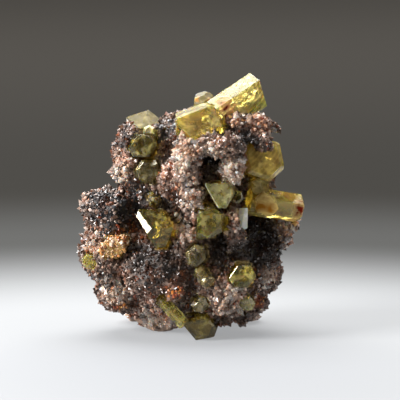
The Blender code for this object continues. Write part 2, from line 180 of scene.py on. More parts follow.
zoneShape = {
    "full": 1.6,  # strength at the middle, cut off at 1, so that the middle is even
    "fall": 1.05,  # how much of it is lost over one radius
    "frayed": 0.35,  # how far the ripple eats into the edge
    "hollow": 0.8,  # umber stronger than this is a hollow, painted dark all the way in along the camera's line of sight: painted shade
    "hollowDepth": 6.0,  # mm
    "sideFrom": -2.0, "sideOver": 6.0,  # mm back, where the photo stops showing and patches take over
    "sidePatches": (("milk", 9.0, 11.0, 0.12), ("iron", 11.0, 23.0, 0.22),  # size in mm, seed, threshold
                    ("peach", 6.0, 31.0, 0.30), ("rust", 5.0, 47.0, 0.38)),
    "patchEdge": 5.0,  # how sharp their edges are
    "umberHides": 0.9,  # share of milk and peach that the umber, painted shade with some real oxide, covers
    "smokeHidden": 0.85,  # share of the smoky quartz that the other minerals push aside
    "contact": (0.36, 0.2),  # mm from a crystal, and mm over which its seat fades out
    "contactShare": 0.06,  # how much of a seat carries grains
    "floorClear": 1.3,  # mm, no points grow on what it stands on
}

rockShape = {
    "voxel": 0.50,  # mm
    "lumps": (3.0, 0.55),  # mm across and high: knobs of intergrown quartz
    "knobs": (1.5, 0.40),
    "grit": (0.7, 0.18),
    "nearCrystal": (0.35, 1.3),  # mm, the relief dies out towards a crystal's seat
    "level": 0.45,  # the part of a lump that stays below the solid's surface
    "pitReach": 9.0,  # mm, how far round a hollow looks for walls
    "pitLift": 0.6,  # mm off the surface, where it looks from
    "pitCones": ((0.35, 3), (0.95, 5)),  # how far from upright in radians, and how many ways round
    "pitUmber": (0.42, 2.6, 0.5),  # share of walls where the painted shade starts, its slope, and how far milk holds it off
}


def solidTree(names):
    points, faces = [], []
    for name in names:
        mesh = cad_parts[name].data
        start = len(points)
        points += [v.co.copy() for v in mesh.vertices]
        faces += [[start + i for i in f.vertices] for f in mesh.polygons]
    return BVHTree.FromPolygons(points, faces)


rockTree = solidTree(["quartz_matrix"])
crystalTree = solidTree(crystalNodes)
seenFrom = Vector((0.0, -math.cos(lookDown), math.sin(lookDown)))


def seenOn(tree, right, up):  # the first place that the camera sees there
    struck = tree.ray_cast(seenPoint(right, up, view["inFront"]), -seenFrom)[0]
    return struck or tree.find_nearest(seenPoint(right, up, view["usualDepth"]))[0]


def remeshed(name, voxel):
    bm = mergedCopy(name)
    mesh = bpy.data.meshes.new(name)
    bm.to_mesh(mesh)
    bm.free()
    obj = bpy.data.objects.new(name, mesh)
    scene.collection.objects.link(obj)
    remesh = obj.modifiers.new("fine skin", "REMESH")
    remesh.mode = "VOXEL"
    remesh.voxel_size = voxel * mm
    fine = bpy.data.meshes.new_from_object(obj.evaluated_get(bpy.context.evaluated_depsgraph_get()))
    bpy.data.objects.remove(obj)
    return fine


def wobble(point, size, seed=0.0):  # smooth noise from -1 to 1 at a size in mm
    return noise.noise(point / (size * mm) + Vector((seed, seed * 1.7, seed * 0.3)))


rockMesh = remeshed("quartz_matrix", rockShape["voxel"])
places = [v.co.copy() for v in rockMesh.vertices]
normals = [v.normal.copy() for v in rockMesh.vertices]
print("rock skin:", len(places), "points")

farOff = 4 * mm  # beyond this a crystal doesn't matter
clear = np.array([min(crystalTree.find_nearest(p, farOff)[3] or farOff, farOff) / mm for p in places])
nearEdge, farEdge = rockShape["nearCrystal"]
freedom = np.clip((clear - nearEdge) / (farEdge - nearEdge), 0, 1)

moved = []
for place, normal, free in zip(places, normals, freedom):
    rise = 0.0
    for key in ("lumps", "knobs", "grit"):
        size, height = rockShape[key]
        near = noise.voronoi(place / (size * mm))[0]
        rise += height * (rockShape["level"] - near[0])
    moved.append(place + normal * (rise * free * mm))
for vertex, place in zip(rockMesh.vertices, moved):
    vertex.co = (place.x, place.y, max(place.z, 0.0))
rockMesh.update()

pit = np.zeros(len(moved))
spread = [Vector((math.cos(a) * math.sin(t), math.sin(a) * math.sin(t), math.cos(t)))
          for t, turns in rockShape["pitCones"] for a in (math.tau * i / turns for i in range(turns))]
reach = rockShape["pitReach"] * mm
for i, (place, normal) in enumerate(zip(moved, normals)):
    turn = normal.to_track_quat("Z", "Y")
    start = place + normal * rockShape["pitLift"] * mm
    hits = sum(rockTree.ray_cast(start, turn @ way, reach)[0] is not None for way in spread)
    pit[i] = hits / len(spread)
print("hollows found:", int((pit > 0.5).sum()), "points")

amounts = {name: np.zeros(len(moved)) for name in minerals}
cloud = np.array(moved)
ripple = np.array([wobble(p, 2.2, 3.0) + 0.5 * wobble(p, 1.0, 7.0) for p in moved])  # coarse and fine


def zoneShade(away):  # away: distance in radii
    return np.clip(zoneShape["full"] - zoneShape["fall"] * away - zoneShape["frayed"] * ripple, 0, 1)


towardsCamera = np.array(seenFrom)
for right, up, radius, tones in mineralZones.values():
    offset = cloud - np.array(seenOn(rockTree, right, up))
    # A hollow is painted dark along the camera's line of sight, so that the painted shade reaches all the way
    # in.
    if tones.get("umber", 0.0) > zoneShape["hollow"]:
        deep = offset @ towardsCamera
        beside = np.linalg.norm(offset - np.outer(deep, towardsCamera), axis=1) / (radius * mm)
        shade = np.where(np.abs(deep) < zoneShape["hollowDepth"] * mm, zoneShade(beside), 0.0)
    else:
        shade = zoneShade(np.linalg.norm(offset, axis=1) / (radius * mm))
    for tone, strength in tones.items():
        given = shade * strength
        amounts[tone] = np.maximum(amounts[tone], given) if strength > 0 else amounts[tone] + given

# Round the sides and the back the same minerals come and go in patches.
hidden = np.clip((cloud[:, 1] / mm - zoneShape["sideFrom"]) / zoneShape["sideOver"], 0, 1)
for tone, size, seed, threshold in zoneShape["sidePatches"]:
    patch = np.array([wobble(p, size, seed) for p in moved]) + 0.25 * ripple
    sharp = np.clip((patch - threshold) * zoneShape["patchEdge"], 0, 1)
    amounts[tone] = np.maximum(amounts[tone], hidden * sharp)

# Painted shade: the hollows are darkened as umber by the share of walls round each point, standing in for the
# shade that falls there, with some real oxide; less where milky quartz fills them.
pitStart, pitSlope, heldOff = rockShape["pitUmber"]
inPits = (pit - pitStart) * pitSlope * (1.0 - heldOff * np.clip(amounts["milk"], 0, 1))
amounts["umber"] = np.maximum(amounts["umber"], inPits)
amounts = {name: np.clip(values, 0, 1) for name, values in amounts.items()}
for tone in ("milk", "peach"):
    amounts[tone] *= 1.0 - zoneShape["umberHides"] * amounts["umber"]
covered = np.maximum.reduce([amounts[tone] for tone in minerals if tone != "umber"])
amounts["smoke"] = 1.0 - zoneShape["smokeHidden"] * covered
seatEdge, seatFade = zoneShape["contact"]
amounts["contact"] = 1.0 - np.clip((clear - seatEdge) / seatFade, 0, 1)  # where a crystal grew against the rock
clearOfFloor = cloud[:, 2] > zoneShape["floorClear"] * mm
for tone in ("milk", "iron", "smoke", "rust", "peach"):
    amounts[tone + "Druse"] = amounts[tone] * (1.0 - amounts["contact"]) * clearOfFloor
amounts["contactDruse"] = zoneShape["contactShare"] * amounts["contact"] * clearOfFloor
for name, values in amounts.items():
    rockMesh.attributes.new(name, "FLOAT", "POINT").data.foreach_set("value", values.astype(np.float32))
print("minerals placed")

quartzIndex, apatiteIndex = 1.544, 1.634  # index of refraction

# Vein quartz and altered country rock: broken, porous and dull, stained by iron oxides in its cracks. Its umber
# tone darkens the hollows with painted shade and some real oxide.
rockLook = {
    "ground": ((0.30, "#1f1713"), (0.50, "#46362d"), (0.72, "#7a6152")),
    "tones": (("milk", "#b59a86"), ("peach", "#a8735a"), ("rust", "#7c3a18"), ("iron", "#1e1b1a"),
              ("umber", "#120c09")),
    # fused quartz and iron stain under the crystals; the palest cream is painted light that shows through the
    # crystals, standing in for light passing through them
    "seat": ((0.36, "#4a3418"), (0.50, "#b89a5c"), (0.60, "#fdf0c4")),
    "index": 1.54,  # of refraction
    "patch": 1.6, "seatPatch": 1.4,  # mm
    "grit": 0.5,  # mm, drawn coarser than the real grain so that it shows
    "broken": 0.9,  # how far single grains break up the edge of a tone
    "roughness": (0.45, 0.8),
    "relief": (0.6, 0.15),  # strength, and mm
    "glow": ((1.0, 0.7, 0.5), 0.8),  # how far light goes in milky quartz: red, green and blue shares, and mm
}


def rockMaterial(name, look):
    material, tree = newMaterial(name)
    place = addNode(tree, "ShaderNodeTexCoord").outputs["Object"]
    patch = addNode(tree, "ShaderNodeTexNoise", {
        "Scale": 1 / (look["patch"] * mm), "Detail": 5.0, "Roughness": 0.65}, {"Vector": place})
    grit = addNode(tree, "ShaderNodeTexVoronoi", {"Scale": 1 / (look["grit"] * mm)}, {"Vector": place})
    ground = addNode(tree, "ShaderNodeValToRGB", {}, {"Fac": patch.outputs["Fac"]})
    rampColours(ground.color_ramp, look["ground"])
    colour = ground.outputs["Color"]
    for tone, hexValue in look["tones"]:
        amount = addNode(tree, "ShaderNodeAttribute", {"attribute_name": tone})
        broken = addNode(tree, "ShaderNodeMath", {
            "operation": "MULTIPLY_ADD", 1: look["broken"], 2: -look["broken"] / 2},
            {0: grit.outputs["Distance"]})
        mixed = addNode(tree, "ShaderNodeMath", {"operation": "ADD", "use_clamp": True},
                        {0: amount.outputs["Fac"], 1: broken.outputs[0]})
        gate = addNode(tree, "ShaderNodeMath", {"operation": "MULTIPLY"},
                       {0: mixed.outputs[0], 1: amount.outputs["Fac"]})
        colour = addNode(tree, "ShaderNodeMix", {"data_type": "RGBA", 7: linearColour(hexValue)},
                         {0: gate.outputs[0], 6: colour}).outputs[2]
    # The seat under each crystal: stain, with pale patches of painted light that show through the crystal.
    blotch = addNode(tree, "ShaderNodeTexNoise", {
        "Scale": 1 / (look["seatPatch"] * mm), "Detail": 4.0, "Roughness": 0.6}, {"Vector": place})
    seat = addNode(tree, "ShaderNodeValToRGB", {}, {"Fac": blotch.outputs["Fac"]})
    rampColours(seat.color_ramp, look["seat"])
    contact = addNode(tree, "ShaderNodeAttribute", {"attribute_name": "contact"})
    colour = addNode(tree, "ShaderNodeMix", {"data_type": "RGBA"},
                     {0: contact.outputs["Fac"], 6: colour, 7: seat.outputs["Color"]}).outputs[2]
    rough = addNode(tree, "ShaderNodeMapRange", {
        "To Min": look["roughness"][0], "To Max": look["roughness"][1]}, {"Value": patch.outputs["Fac"]})
    bump = addNode(tree, "ShaderNodeBump", {"Strength": look["relief"][0], "Distance": look["relief"][1] * mm},
                   {"Height": grit.outputs["Distance"]})
    milky = addNode(tree, "ShaderNodeAttribute", {"attribute_name": "milk"})
    shader = addNode(tree, "ShaderNodeBsdfPrincipled", {
        "IOR": look["index"], "Subsurface Radius": look["glow"][0], "Subsurface Scale": look["glow"][1] * mm}, {
        "Base Color": colour, "Roughness": rough.outputs[0], "Normal": bump.outputs[0],
        "Subsurface Weight": milky.outputs["Fac"]})
    addNode(tree, "ShaderNodeOutputMaterial", {}, {"Surface": shader.outputs[0]})
    return material


rockMesh.materials.clear()
rockMesh.materials.append(rockMaterial("veinQuartzRock", rockLook))
newPiece("matrixRock", rockMesh, "quartz_rock", "quartz_matrix")
for face in rockMesh.polygons:
    face.use_smooth = True


# ---- the druse: thousands of small quartz points grown side by side on the rock

quartzPoint = {
    "sides": 6,
    "wider": 1.8,  # the cone's half-way ring is drawn out to nearly the width of the foot
    "sunk": 0.32,  # share of the height below the rock's skin
    "rarity": 2.2,  # the higher, the rarer the large points
    "uneven": (0.22, 0.8),  # mm that the corners are pushed, and the size in mm of what pushes them
}
pointVertices = 2 * quartzPoint["sides"] + 1


def druseTree():
    tree = bpy.data.node_groups.new("quartzDruse", "GeometryNodeTree")
    sockets = (
        ("Rock", "NodeSocketGeometry", None), ("Zone", "NodeSocketString", ""),
        ("Points per m2", "NodeSocketFloat", 1e6), ("Smallest", "NodeSocketFloat", 0.0005),
        ("Largest", "NodeSocketFloat", 0.0015), ("Shortest ratio", "NodeSocketFloat", 0.8),
        ("Longest ratio", "NodeSocketFloat", 1.7), ("Lean", "NodeSocketFloat", 0.6),
        ("Spacing", "NodeSocketFloat", 0.0004), ("Shoulder", "NodeSocketFloat", 0.5),
        ("Uneven", "NodeSocketFloat", 0.00015), ("Seed", "NodeSocketInt", 1),
        ("Finish", "NodeSocketMaterial", None),
    )
    for name, kind, value in sockets:
        socket = tree.interface.new_socket(name, in_out="INPUT", socket_type=kind)
        if value is not None:
            socket.default_value = value
    tree.interface.new_socket("Druse", in_out="OUTPUT", socket_type="NodeSocketGeometry")
    given = addNode(tree, "NodeGroupInput").outputs
    zone = addNode(tree, "GeometryNodeInputNamedAttribute", {"data_type": "FLOAT"}, {"Name": given["Zone"]})
    scattered = addNode(tree, "GeometryNodeDistributePointsOnFaces", {"distribute_method": "POISSON"}, {
        "Mesh": given["Rock"], "Distance Min": given["Spacing"], "Density Max": given["Points per m2"],
        "Density Factor": zone.outputs["Attribute"], "Seed": given["Seed"]})
    tint = addNode(tree, "FunctionNodeRandomValue", {"data_type": "FLOAT"}, {"Seed": given["Seed"]})
    tinted = addNode(tree, "GeometryNodeStoreNamedAttribute",
                     {"data_type": "FLOAT", "domain": "POINT", "Name": "tint"},
                     {"Geometry": scattered.outputs["Points"], "Value": tint.outputs[1]})

    # one point: a six-sided prism, its foot below the rock's skin, and a pyramid on top
    cone = addNode(tree, "GeometryNodeMeshCone", {
        "Vertices": quartzPoint["sides"], "Side Segments": 2, "Radius Top": 0.0, "Radius Bottom": 0.5,
        "Depth": 1.0})
    spot = addNode(tree, "GeometryNodeInputPosition")
    parts = addNode(tree, "ShaderNodeSeparateXYZ", {}, {0: spot.outputs[0]})
    atShoulder = addNode(tree, "FunctionNodeCompare", {
        "operation": "EQUAL", "data_type": "FLOAT", "Epsilon": 0.1, 1: 0.5}, {0: parts.outputs["Z"]})
    wide = addNode(tree, "ShaderNodeCombineXYZ", {}, {"Z": given["Shoulder"]})
    doubled = addNode(tree, "ShaderNodeVectorMath", {
        "operation": "MULTIPLY", 1: (quartzPoint["wider"], quartzPoint["wider"], 0.0)}, {0: spot.outputs[0]})
    raised = addNode(tree, "ShaderNodeVectorMath", {"operation": "ADD"},
                     {0: doubled.outputs[0], 1: wide.outputs[0]})
    shaped = addNode(tree, "GeometryNodeSetPosition", {}, {
        "Geometry": cone.outputs["Mesh"], "Selection": atShoulder.outputs[0], "Position": raised.outputs[0]})
    sunk = addNode(tree, "GeometryNodeTransform", {"Translation": (0, 0, -quartzPoint["sunk"])},
                   {"Geometry": shaped.outputs[0]})

    lean = addNode(tree, "ShaderNodeMath", {"operation": "MULTIPLY", 1: -1.0}, {0: given["Lean"]})
    least = addNode(tree, "ShaderNodeCombineXYZ", {"Z": 0.0}, {"X": lean.outputs[0], "Y": lean.outputs[0]})
    most = addNode(tree, "ShaderNodeCombineXYZ", {"Z": math.tau}, {"X": given["Lean"], "Y": given["Lean"]})
    ownSeeds = [addNode(tree, "ShaderNodeMath", {"operation": "ADD", 1: step}, {0: given["Seed"]}).outputs[0]
                for step in (17.0, 29.0, 41.0)]
    twist = addNode(tree, "FunctionNodeRandomValue", {"data_type": "FLOAT_VECTOR"}, {
        "Min": least.outputs[0], "Max": most.outputs[0], "Seed": ownSeeds[0]})
    turned = addNode(tree, "FunctionNodeRotateRotation", {"rotation_space": "LOCAL"}, {
        "Rotation": scattered.outputs["Rotation"], "Rotate By": twist.outputs[0]})

    chance = addNode(tree, "FunctionNodeRandomValue", {"data_type": "FLOAT"}, {"Seed": ownSeeds[1]})
    rare = addNode(tree, "ShaderNodeMath", {"operation": "POWER", 1: quartzPoint["rarity"]},
                   {0: chance.outputs[1]})
    width = addNode(tree, "ShaderNodeMapRange", {}, {
        "Value": rare.outputs[0], "To Min": given["Smallest"], "To Max": given["Largest"]})
    ratio = addNode(tree, "FunctionNodeRandomValue", {"data_type": "FLOAT"}, {
        2: given["Shortest ratio"], 3: given["Longest ratio"], "Seed": ownSeeds[2]})
    height = addNode(tree, "ShaderNodeMath", {"operation": "MULTIPLY"},
                     {0: width.outputs[0], 1: ratio.outputs[1]})
    size = addNode(tree, "ShaderNodeCombineXYZ", {}, {
        "X": width.outputs[0], "Y": width.outputs[0], "Z": height.outputs[0]})
    grown = addNode(tree, "GeometryNodeInstanceOnPoints", {}, {
        "Points": tinted.outputs[0], "Instance": sunk.outputs[0], "Rotation": turned.outputs[0],
        "Scale": size.outputs[0]})
    real = addNode(tree, "GeometryNodeRealizeInstances", {}, {"Geometry": grown.outputs[0]})
    rough = addNode(tree, "ShaderNodeTexNoise", {"Scale": 1 / (quartzPoint["uneven"][1] * mm), "Detail": 1.0})
    centred = addNode(tree, "ShaderNodeVectorMath", {"operation": "SUBTRACT", 1: (0.5, 0.5, 0.5)},
                      {0: rough.outputs["Color"]})
    pushed = addNode(tree, "ShaderNodeVectorMath", {"operation": "SCALE"},
                     {0: centred.outputs[0], "Scale": given["Uneven"]})
    uneven = addNode(tree, "GeometryNodeSetPosition", {}, {
        "Geometry": real.outputs[0], "Offset": pushed.outputs[0]})
    flat = addNode(tree, "GeometryNodeSetShadeSmooth", {"Shade Smooth": False}, {"Geometry": uneven.outputs[0]})
    dressed = addNode(tree, "GeometryNodeSetMaterial", {},
                      {"Geometry": flat.outputs[0], "Material": given["Finish"]})
    addNode(tree, "NodeGroupOutput", {}, {0: dressed.outputs[0]})
    return tree


# Quartz druse: clear to milky points with glassy faces that glint one by one; iron oxides coat or tint some.
druseKinds = {
    "milkyDruse": {
        "zone": "milkDruse", "perMm2": 3.4, "size": (0.6, 1.8), "ratio": (0.7, 1.4),
        "lean": 36, "spacing": 0.42, "shoulder": 0.5, "seed": 3,
        "colours": ((0.0, "#927360"), (0.5, "#cbb19d"), (0.9, "#efe0d4"), (0.95, "#b98a6c"), (0.98, "#e0c4b2")),
        "blush": "#cf9470", "transmission": 0.3, "roughness": 0.12, "gloss": 0.5, "glow": 0.7,
    },
    "clearPoints": {
        "zone": "milkDruse", "perMm2": 0.16, "size": (1.3, 2.5), "ratio": (1.1, 1.8),
        "lean": 40, "spacing": 1.6, "shoulder": 0.5, "seed": 4,
        "colours": ((0.0, "#dccabb"), (1.0, "#fbf4ec")),
        "blush": "#e0b79c", "transmission": 0.85, "roughness": 0.03, "gloss": 0.5,
    },
    "smokyDruse": {
        "zone": "smokeDruse", "perMm2": 2.4, "size": (0.55, 1.6), "ratio": (0.7, 1.4),
        "lean": 36, "spacing": 0.56, "shoulder": 0.45, "seed": 5,
        "colours": ((0.0, "#2e1f16"), (0.5, "#644a3a"), (0.82, "#a88f80"), (0.86, "#7c3f24"), (0.9, "#985a38"),
                    (0.93, "#c6b0a2")),
        "blush": "#8a4c2a", "transmission": 0.4, "roughness": 0.2, "gloss": 0.4,
    },
    "fineSmokyDruse": {
        "zone": "smokeDruse", "perMm2": 2.1, "size": (0.4, 1.0), "ratio": (0.7, 1.3),
        "lean": 45, "spacing": 0.5, "shoulder": 0.5, "seed": 33,
        "colours": ((0.0, "#2a1c15"), (0.45, "#5c4436"), (0.7, "#8f7767"), (0.78, "#6e3622"), (0.88, "#96543a"),
                    (0.94, "#b9a497")),
        "blush": "#7c452a", "transmission": 0.25, "roughness": 0.25, "gloss": 0.35,
    },
    "oxideCrust": {
        "zone": "ironDruse", "perMm2": 3.4, "size": (0.4, 1.15), "ratio": (0.7, 1.3),
        "lean": 50, "spacing": 0.42, "shoulder": 0.62, "seed": 7,
        "colours": ((0.0, "#161618"), (0.62, "#3c3b3c"), (0.86, "#8f7c72"), (1.0, "#c9b5aa")),
        "blush": "#54301f", "transmission": 0.0, "roughness": 0.28, "gloss": 0.5,
    },
    "rustCrust": {
        "zone": "rustDruse", "perMm2": 3.0, "size": (0.4, 1.1), "ratio": (0.7, 1.3),
        "lean": 45, "spacing": 0.42, "shoulder": 0.55, "seed": 9,
        "colours": ((0.0, "#4e1d12"), (0.4, "#8a3d1d"), (0.75, "#c57a35"), (1.0, "#dcb26a")),
        "blush": "#a04a24", "transmission": 0.15, "roughness": 0.3, "gloss": 0.5,
    },
    "peachCrust": {
        "zone": "peachDruse", "perMm2": 3.0, "size": (0.4, 1.1), "ratio": (0.7, 1.4),
        "lean": 45, "spacing": 0.42, "shoulder": 0.55, "seed": 13,
        "colours": ((0.0, "#6e4a3e"), (0.4, "#b0826a"), (0.8, "#d8b7a2"), (1.0, "#eadcd0")),
        "blush": "#b2714c", "transmission": 0.15, "roughness": 0.25, "gloss": 0.5,
    },
    # Grains caught between crystal and rock, which sparkle through the crystal
    "contactGrains": {
        "zone": "contactDruse", "perMm2": 2.0, "size": (0.35, 0.9), "ratio": (0.8, 1.4),
        "lean": 50, "spacing": 0.5, "shoulder": 0.5, "seed": 21,
        "colours": ((0.0, "#7d6a4a"), (0.4, "#c9b88c"), (1.0, "#f6ecc8")),
        "blush": "#b08a50", "transmission": 0.3, "roughness": 0.12, "gloss": 0.5,
    },
    # A weathered crystal, overgrown by iron-stained quartz
    "weatheredCrust": {
        "zone": "crust", "perMm2": 3.2, "size": (0.4, 1.2), "ratio": (0.6, 1.3),
        "lean": 50, "spacing": 0.42, "shoulder": 0.5, "seed": 25,
        "colours": ((0.0, "#6b3d22"), (0.3, "#b0713a"), (0.6, "#d9a566"), (1.0, "#f0dfca")),
        "blush": "#b5602a", "transmission": 0.2, "roughness": 0.25, "gloss": 0.5,
    },
}

druseCoat = {
    "seep": 4.5,  # mm, patches where iron-bearing water has tinted the quartz
    "seepRange": (0.5, 0.68, 0.6),  # noise where the tint starts and is full, and its full strength
    "umber": ("#1c120d", 0.88),  # manganese and iron oxides in the hollows, with painted shade there, and how dense
    "glow": ((1.0, 0.7, 0.5), 0.7),  # how far light goes: red, green and blue shares, and mm
}


def druseMaterial(name, look):
    material, tree = newMaterial(name)
    tint = addNode(tree, "ShaderNodeAttribute", {"attribute_name": "tint"})
    ramp = addNode(tree, "ShaderNodeValToRGB", {}, {"Fac": tint.outputs["Fac"]})
    rampColours(ramp.color_ramp, look["colours"])
    place = addNode(tree, "ShaderNodeTexCoord").outputs["Object"]
    seep = addNode(tree, "ShaderNodeTexNoise", {"Scale": 1 / (druseCoat["seep"] * mm), "Detail": 3.0},
                   {"Vector": place})
    start, full, most = druseCoat["seepRange"]
    blushed = addNode(tree, "ShaderNodeMapRange", {"From Min": start, "From Max": full, "To Max": most},
                      {"Value": seep.outputs["Fac"]})
    warm = addNode(tree, "ShaderNodeMix", {"data_type": "RGBA", 7: linearColour(look["blush"])},
                   {0: blushed.outputs[0], 6: ramp.outputs["Color"]})
    # Painted shade: grains in the hollows are darkened by the umber amount, with some real oxide.
    umber = addNode(tree, "ShaderNodeAttribute", {"attribute_name": "umber"})
    coat = addNode(tree, "ShaderNodeMath", {"operation": "MULTIPLY", 1: druseCoat["umber"][1]},
                   {0: umber.outputs["Fac"]})
    colour = addNode(tree, "ShaderNodeMix", {"data_type": "RGBA", 7: linearColour(druseCoat["umber"][0])},
                     {0: coat.outputs[0], 6: warm.outputs[2]})
    shader = addNode(tree, "ShaderNodeBsdfPrincipled", {
        "IOR": quartzIndex, "Roughness": look["roughness"], "Transmission Weight": look["transmission"],
        "Specular IOR Level": look["gloss"], "Subsurface Weight": look.get("glow", 0.0),
        "Subsurface Radius": druseCoat["glow"][0], "Subsurface Scale": druseCoat["glow"][1] * mm},
        {"Base Color": colour.outputs[2]})
    addNode(tree, "ShaderNodeOutputMaterial", {}, {"Surface": shader.outputs[0]})
    return material


def growDruse(name, kind, mesh, slot):
    finish = druseMaterial(name + "Quartz", kind)
    host = bpy.data.objects.new(name, mesh)
    scene.collection.objects.link(host)
    grow = host.modifiers.new("grow", "NODES")
    grow.node_group = growth
    values = {
        "Zone": kind["zone"], "Points per m2": kind["perMm2"] * 1e6,
        "Smallest": kind["size"][0] * mm, "Largest": kind["size"][1] * mm,
        "Shortest ratio": kind["ratio"][0], "Longest ratio": kind["ratio"][1],
        "Lean": math.radians(kind["lean"]), "Spacing": kind["spacing"] * mm, "Shoulder": kind["shoulder"],
        "Uneven": quartzPoint["uneven"][0] * mm, "Seed": kind["seed"], "Finish": finish,
    }
    for label, value in values.items():
        grow[sockets[label]] = value
    host.update_tag()
    grown = bpy.data.meshes.new_from_object(host.evaluated_get(bpy.context.evaluated_depsgraph_get()))
    bpy.data.objects.remove(host)
    newPiece(name, grown, slot)
    grown.calc_loop_triangles()
    print(name, len(grown.vertices) // pointVertices, "points,", len(grown.loop_triangles), "triangles")


growth = druseTree()
sockets = {item.name: item.identifier for item in growth.interface.items_tree if item.in_out == "INPUT"}
for name, kind in druseKinds.items():
    if name != "weatheredCrust":
        growDruse(name, kind, rockMesh, "quartz_rock")


# Larger quartz points with a face towards the light: where (seen right, up in mm), width and length in mm
glintPoints = (
    (13.0, 46.5, 1.5, 3.2), (12.1, 29.0, 0.9, 2.0), (20.7, 39.1, 0.9, 1.4), (21.5, 54.7, 1.0, 2.0),
    (-4.3, 46.9, 1.4, 2.2), (18.6, 14.7, 1.2, 2.0), (11.3, 12.8, 0.9, 1.8), (-2.3, 9.3, 0.9, 1.6),
    (-18.8, 14.0, 1.0, 1.8), (0.8, 51.2, 1.3, 2.2), (7.8, 43.6, 1.1, 2.2), (-1.0, 38.9, 1.2, 2.0),
    (-19.6, 42.0, 1.2, 2.0), (-25.8, 25.0, 1.2, 1.8), (2.2, 47.4, 1.0, 1.8), (9.9, 35.0, 0.8, 2.2),
    (-3.4, 27.6, 1.0, 1.8), (17.4, 55.6, 1.0, 1.8),
)
glintFacing = Vector((-0.46, -0.82, 0.34)).normalized()
glintSlope = math.radians(38)  # how far a pyramid face of quartz looks up
faceSlope = Vector((math.cos(glintSlope), 0.0, math.sin(glintSlope)))
halfPrism, halfTip = 0.31, 0.32  # half the prism's height as a share of the length, half the tip's of the width
halfSide = Matrix.Rotation(math.pi / quartzPoint["sides"], 4, "Z")
pointJoin = bmesh.new()
for k, (right, up, width, length) in enumerate(glintPoints):
    stray = Vector([wobble(Vector((k, 0, 0)), 1.0, seed) for seed in (1, 2, 3)]) * 0.06
    turn = faceSlope.rotation_difference(glintFacing + stray)
    stand = Matrix.Translation(seenOn(rockTree, right, up)) @ turn.to_matrix().to_4x4()
    tipMiddle = length * halfPrism + width * halfTip
    for top, depth, rise in ((width / 2, length * halfPrism * 2, 0.0), (0.0, width * halfTip * 2, tipMiddle)):
        bmesh.ops.create_cone(pointJoin, cap_ends=False, segments=quartzPoint["sides"], radius1=width / 2 * mm,
                              radius2=top * mm, depth=depth * mm,
                              matrix=stand @ Matrix.Translation((0, 0, rise * mm)) @ halfSide)
bmesh.ops.remove_doubles(pointJoin, verts=pointJoin.verts, dist=0.005 * mm)
bmesh.ops.holes_fill(pointJoin, edges=[e for e in pointJoin.edges if e.is_boundary])
bmesh.ops.recalc_face_normals(pointJoin, faces=pointJoin.faces)
pointMesh = bpy.data.meshes.new("glintPoints")
pointJoin.to_mesh(pointMesh)
pointJoin.free()
pointMesh.materials.append(druseMaterial("rockCrystal", {
    "colours": ((0.0, "#ece2da"), (1.0, "#f8f4f0")), "blush": "#e8d2c2", "transmission": 0.75,
    "roughness": 0.04, "gloss": 0.5}))
newPiece("glintPoints", pointMesh, "quartz_rock")


# ---- the fluorapatite

